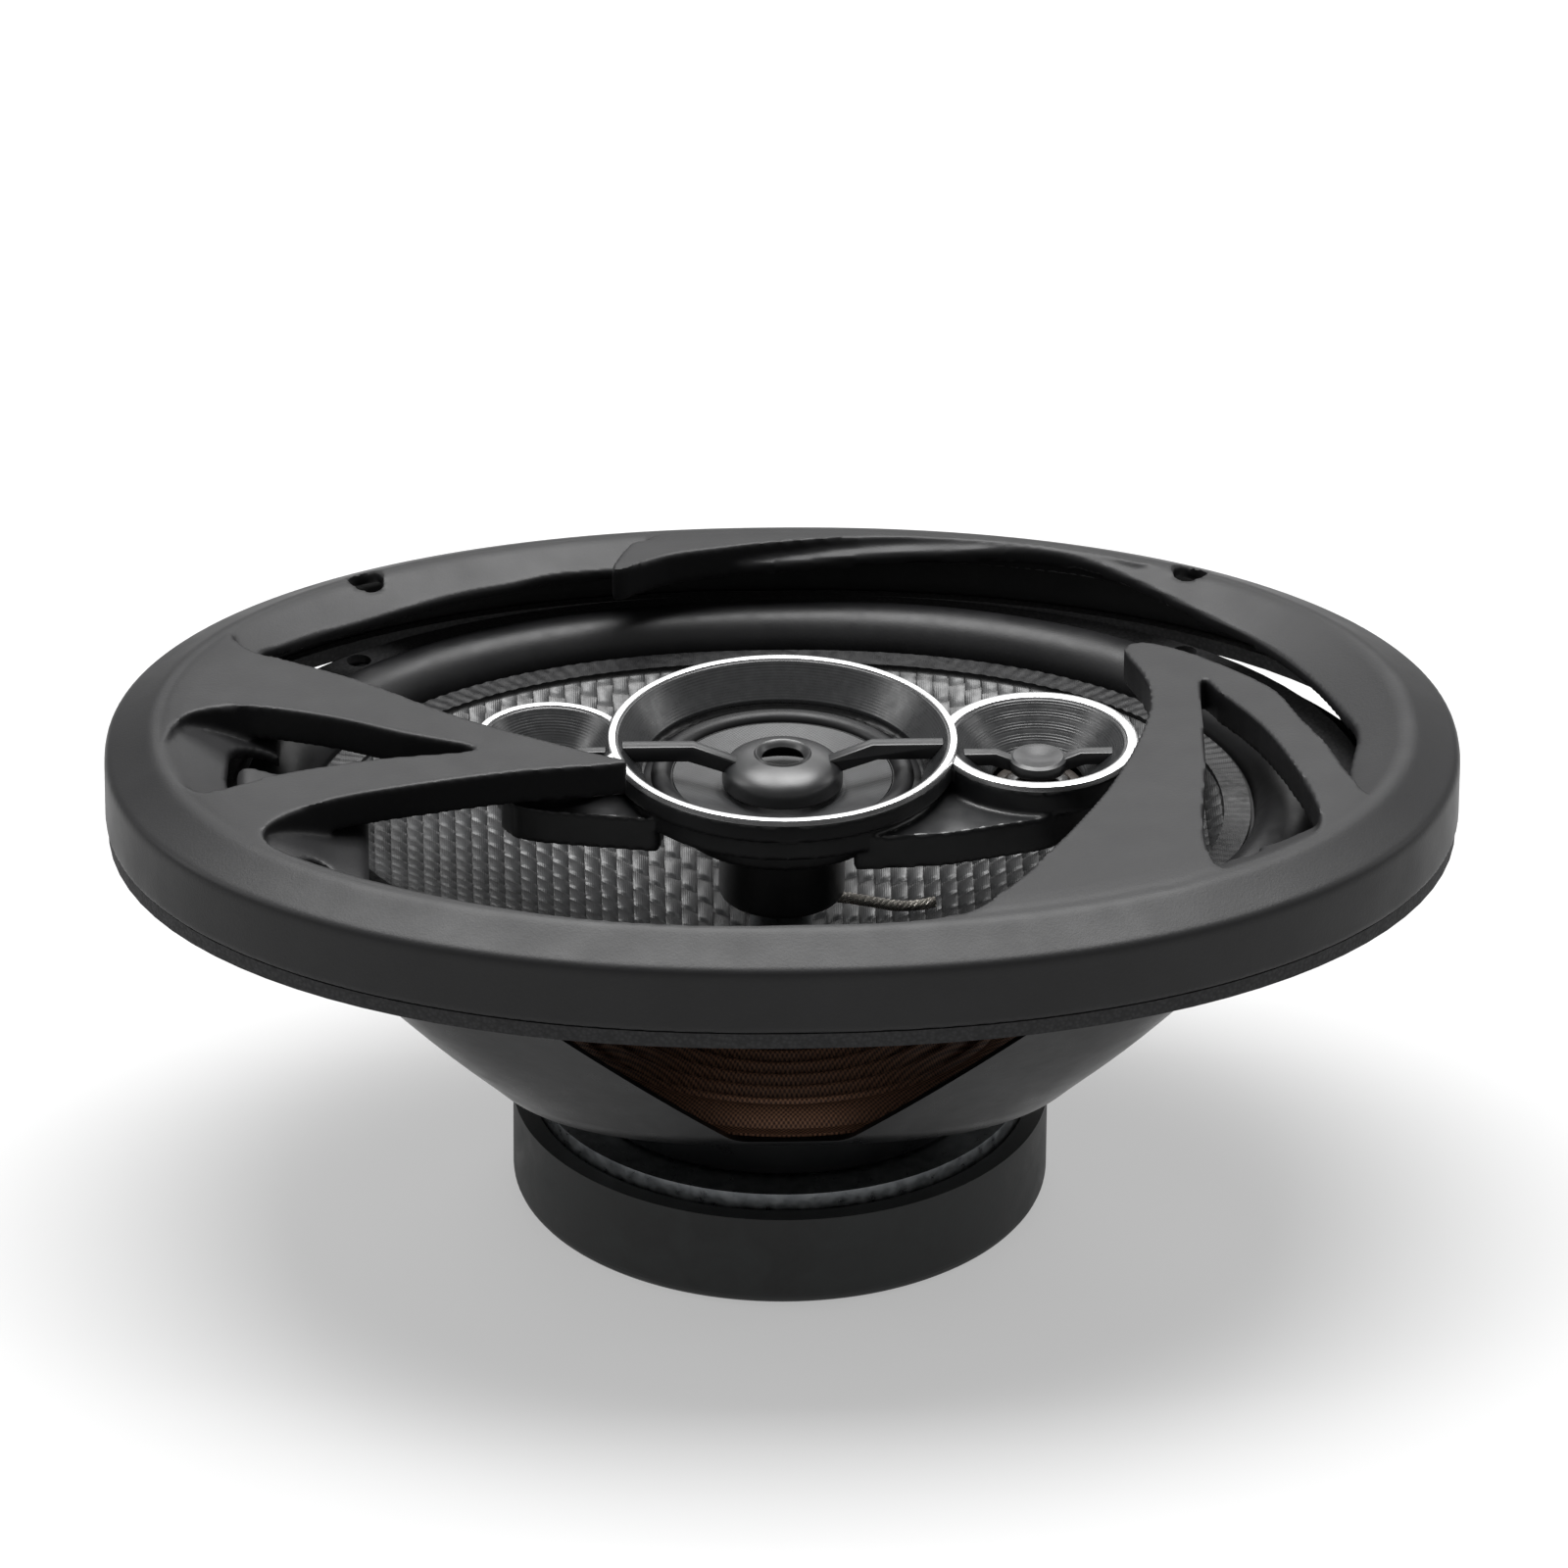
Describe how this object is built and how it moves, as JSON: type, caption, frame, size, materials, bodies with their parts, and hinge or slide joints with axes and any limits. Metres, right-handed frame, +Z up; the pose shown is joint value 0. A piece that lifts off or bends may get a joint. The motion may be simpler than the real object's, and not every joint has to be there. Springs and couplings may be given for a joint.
{
  "type": "oval coaxial car speaker",
  "caption": "Oval coaxial car speaker with a woven black cone, a centre pod holding a midrange and tweeters, a swept-fin grille, pressed basket and round magnet.",
  "frame": {"origin": "centre of the magnet's underside, on the surface that the speaker stands on", "axes": "+Z is up, out of the cone's mouth; +X runs along the oval, from the centre towards the larger tweeter"},
  "size_m": [0.257, 0.177, 0.1],
  "materials": {
    "grille_abs": "fine moulded texture",
    "foam": "closed-cell foam, matte",
    "black_steel": "semi-gloss black paint on pressed steel",
    "boot_rubber": "matte moulded rubber",
    "zinc_steel": "machined, bright zinc",
    "ferrite": "ground ferrite, dark grey",
    "cone_weave": "woven, embossed twill, black",
    "butyl": "satin butyl rubber",
    "spider_cloth": "brown resin-treated woven cloth",
    "kapton": "amber film",
    "copper": "enamelled copper wire",
    "braid": "braided tinned copper",
    "phenolic": "brown phenolic board",
    "tin": "tin plate",
    "sleeve": "shrunk film sleeve",
    "pod_abs": "satin black ABS",
    "bright_trim": "bright silver trim",
    "flare_black": "turned black, fine grooves",
    "midrange_cloth": "black treated cone",
    "dome_film": "dark film dome",
    "neodymium": "nickel-plated magnet"
  },
  "bodies": {
    "chassis": {"grille": "grille_abs", "panel_gasket": "foam", "basket": "black_steel", "magnet_boot": "boot_rubber", "back_plate": "zinc_steel", "magnet": "ferrite", "top_plate": "zinc_steel", "centre_bolt": "zinc_steel", "centre_post": "zinc_steel", "basket_screws": "zinc_steel", "spider": "spider_cloth", "surround": "butyl", "front_gasket": "foam", "tinsel_leads": "braid", "terminal_board": "phenolic", "positive_tab": "tin", "negative_tab": "tin", "terminal_rivets": "tin", "midrange_capacitor": "sleeve", "tweeter_capacitor": "sleeve", "pod_housing": "pod_abs", "pod_lead": "braid", "midrange_ring": "bright_trim", "midrange_flare": "flare_black", "midrange_bridge": "pod_abs", "midrange_surround": "butyl", "midrange_yoke": "zinc_steel", "midrange_magnet": "neodymium", "tweeter_ring": "bright_trim", "tweeter_flare": "flare_black", "tweeter_bridge": "pod_abs", "tweeter_magnet": "neodymium", "super_tweeter_ring": "bright_trim", "super_tweeter_flare": "flare_black", "super_tweeter_bridge": "pod_abs", "super_tweeter_magnet": "neodymium"},
    "woofer": {"cone": "cone_weave", "voice_coil_former": "kapton", "voice_coil": "copper", "dust_seal": "midrange_cloth"},
    "midrange_diaphragm": {"midrange_cone": "midrange_cloth", "midrange_coil": "copper"},
    "tweeter_diaphragm": {"tweeter_dome": "dome_film", "tweeter_coil": "copper"},
    "super_tweeter_diaphragm": {"super_tweeter_dome": "dome_film", "super_tweeter_coil": "copper"}
  },
  "joints": [
    {"name": "woofer_excursion", "type": "slide", "parent": "chassis", "child": "woofer", "axis": [0, 0, 1], "range_m": [-0.0045, 0.0045], "stiffness_N_per_m": 2000, "deforming": ["surround", "spider", "tinsel_leads", "pod_lead"]},
    {"name": "midrange_excursion", "type": "slide", "parent": "chassis", "child": "midrange_diaphragm", "axis": [0, 0, 1], "range_m": [-0.001, 0.001], "stiffness_N_per_m": 400, "deforming": ["midrange_surround"]},
    {"name": "tweeter_excursion", "type": "slide", "parent": "chassis", "child": "tweeter_diaphragm", "axis": [0, 0, 1], "range_m": [-0.0003, 0.0003], "stiffness_N_per_m": 80},
    {"name": "super_tweeter_excursion", "type": "slide", "parent": "chassis", "child": "super_tweeter_diaphragm", "axis": [0, 0, 1], "range_m": [-0.0003, 0.0003], "stiffness_N_per_m": 60}
  ]
}
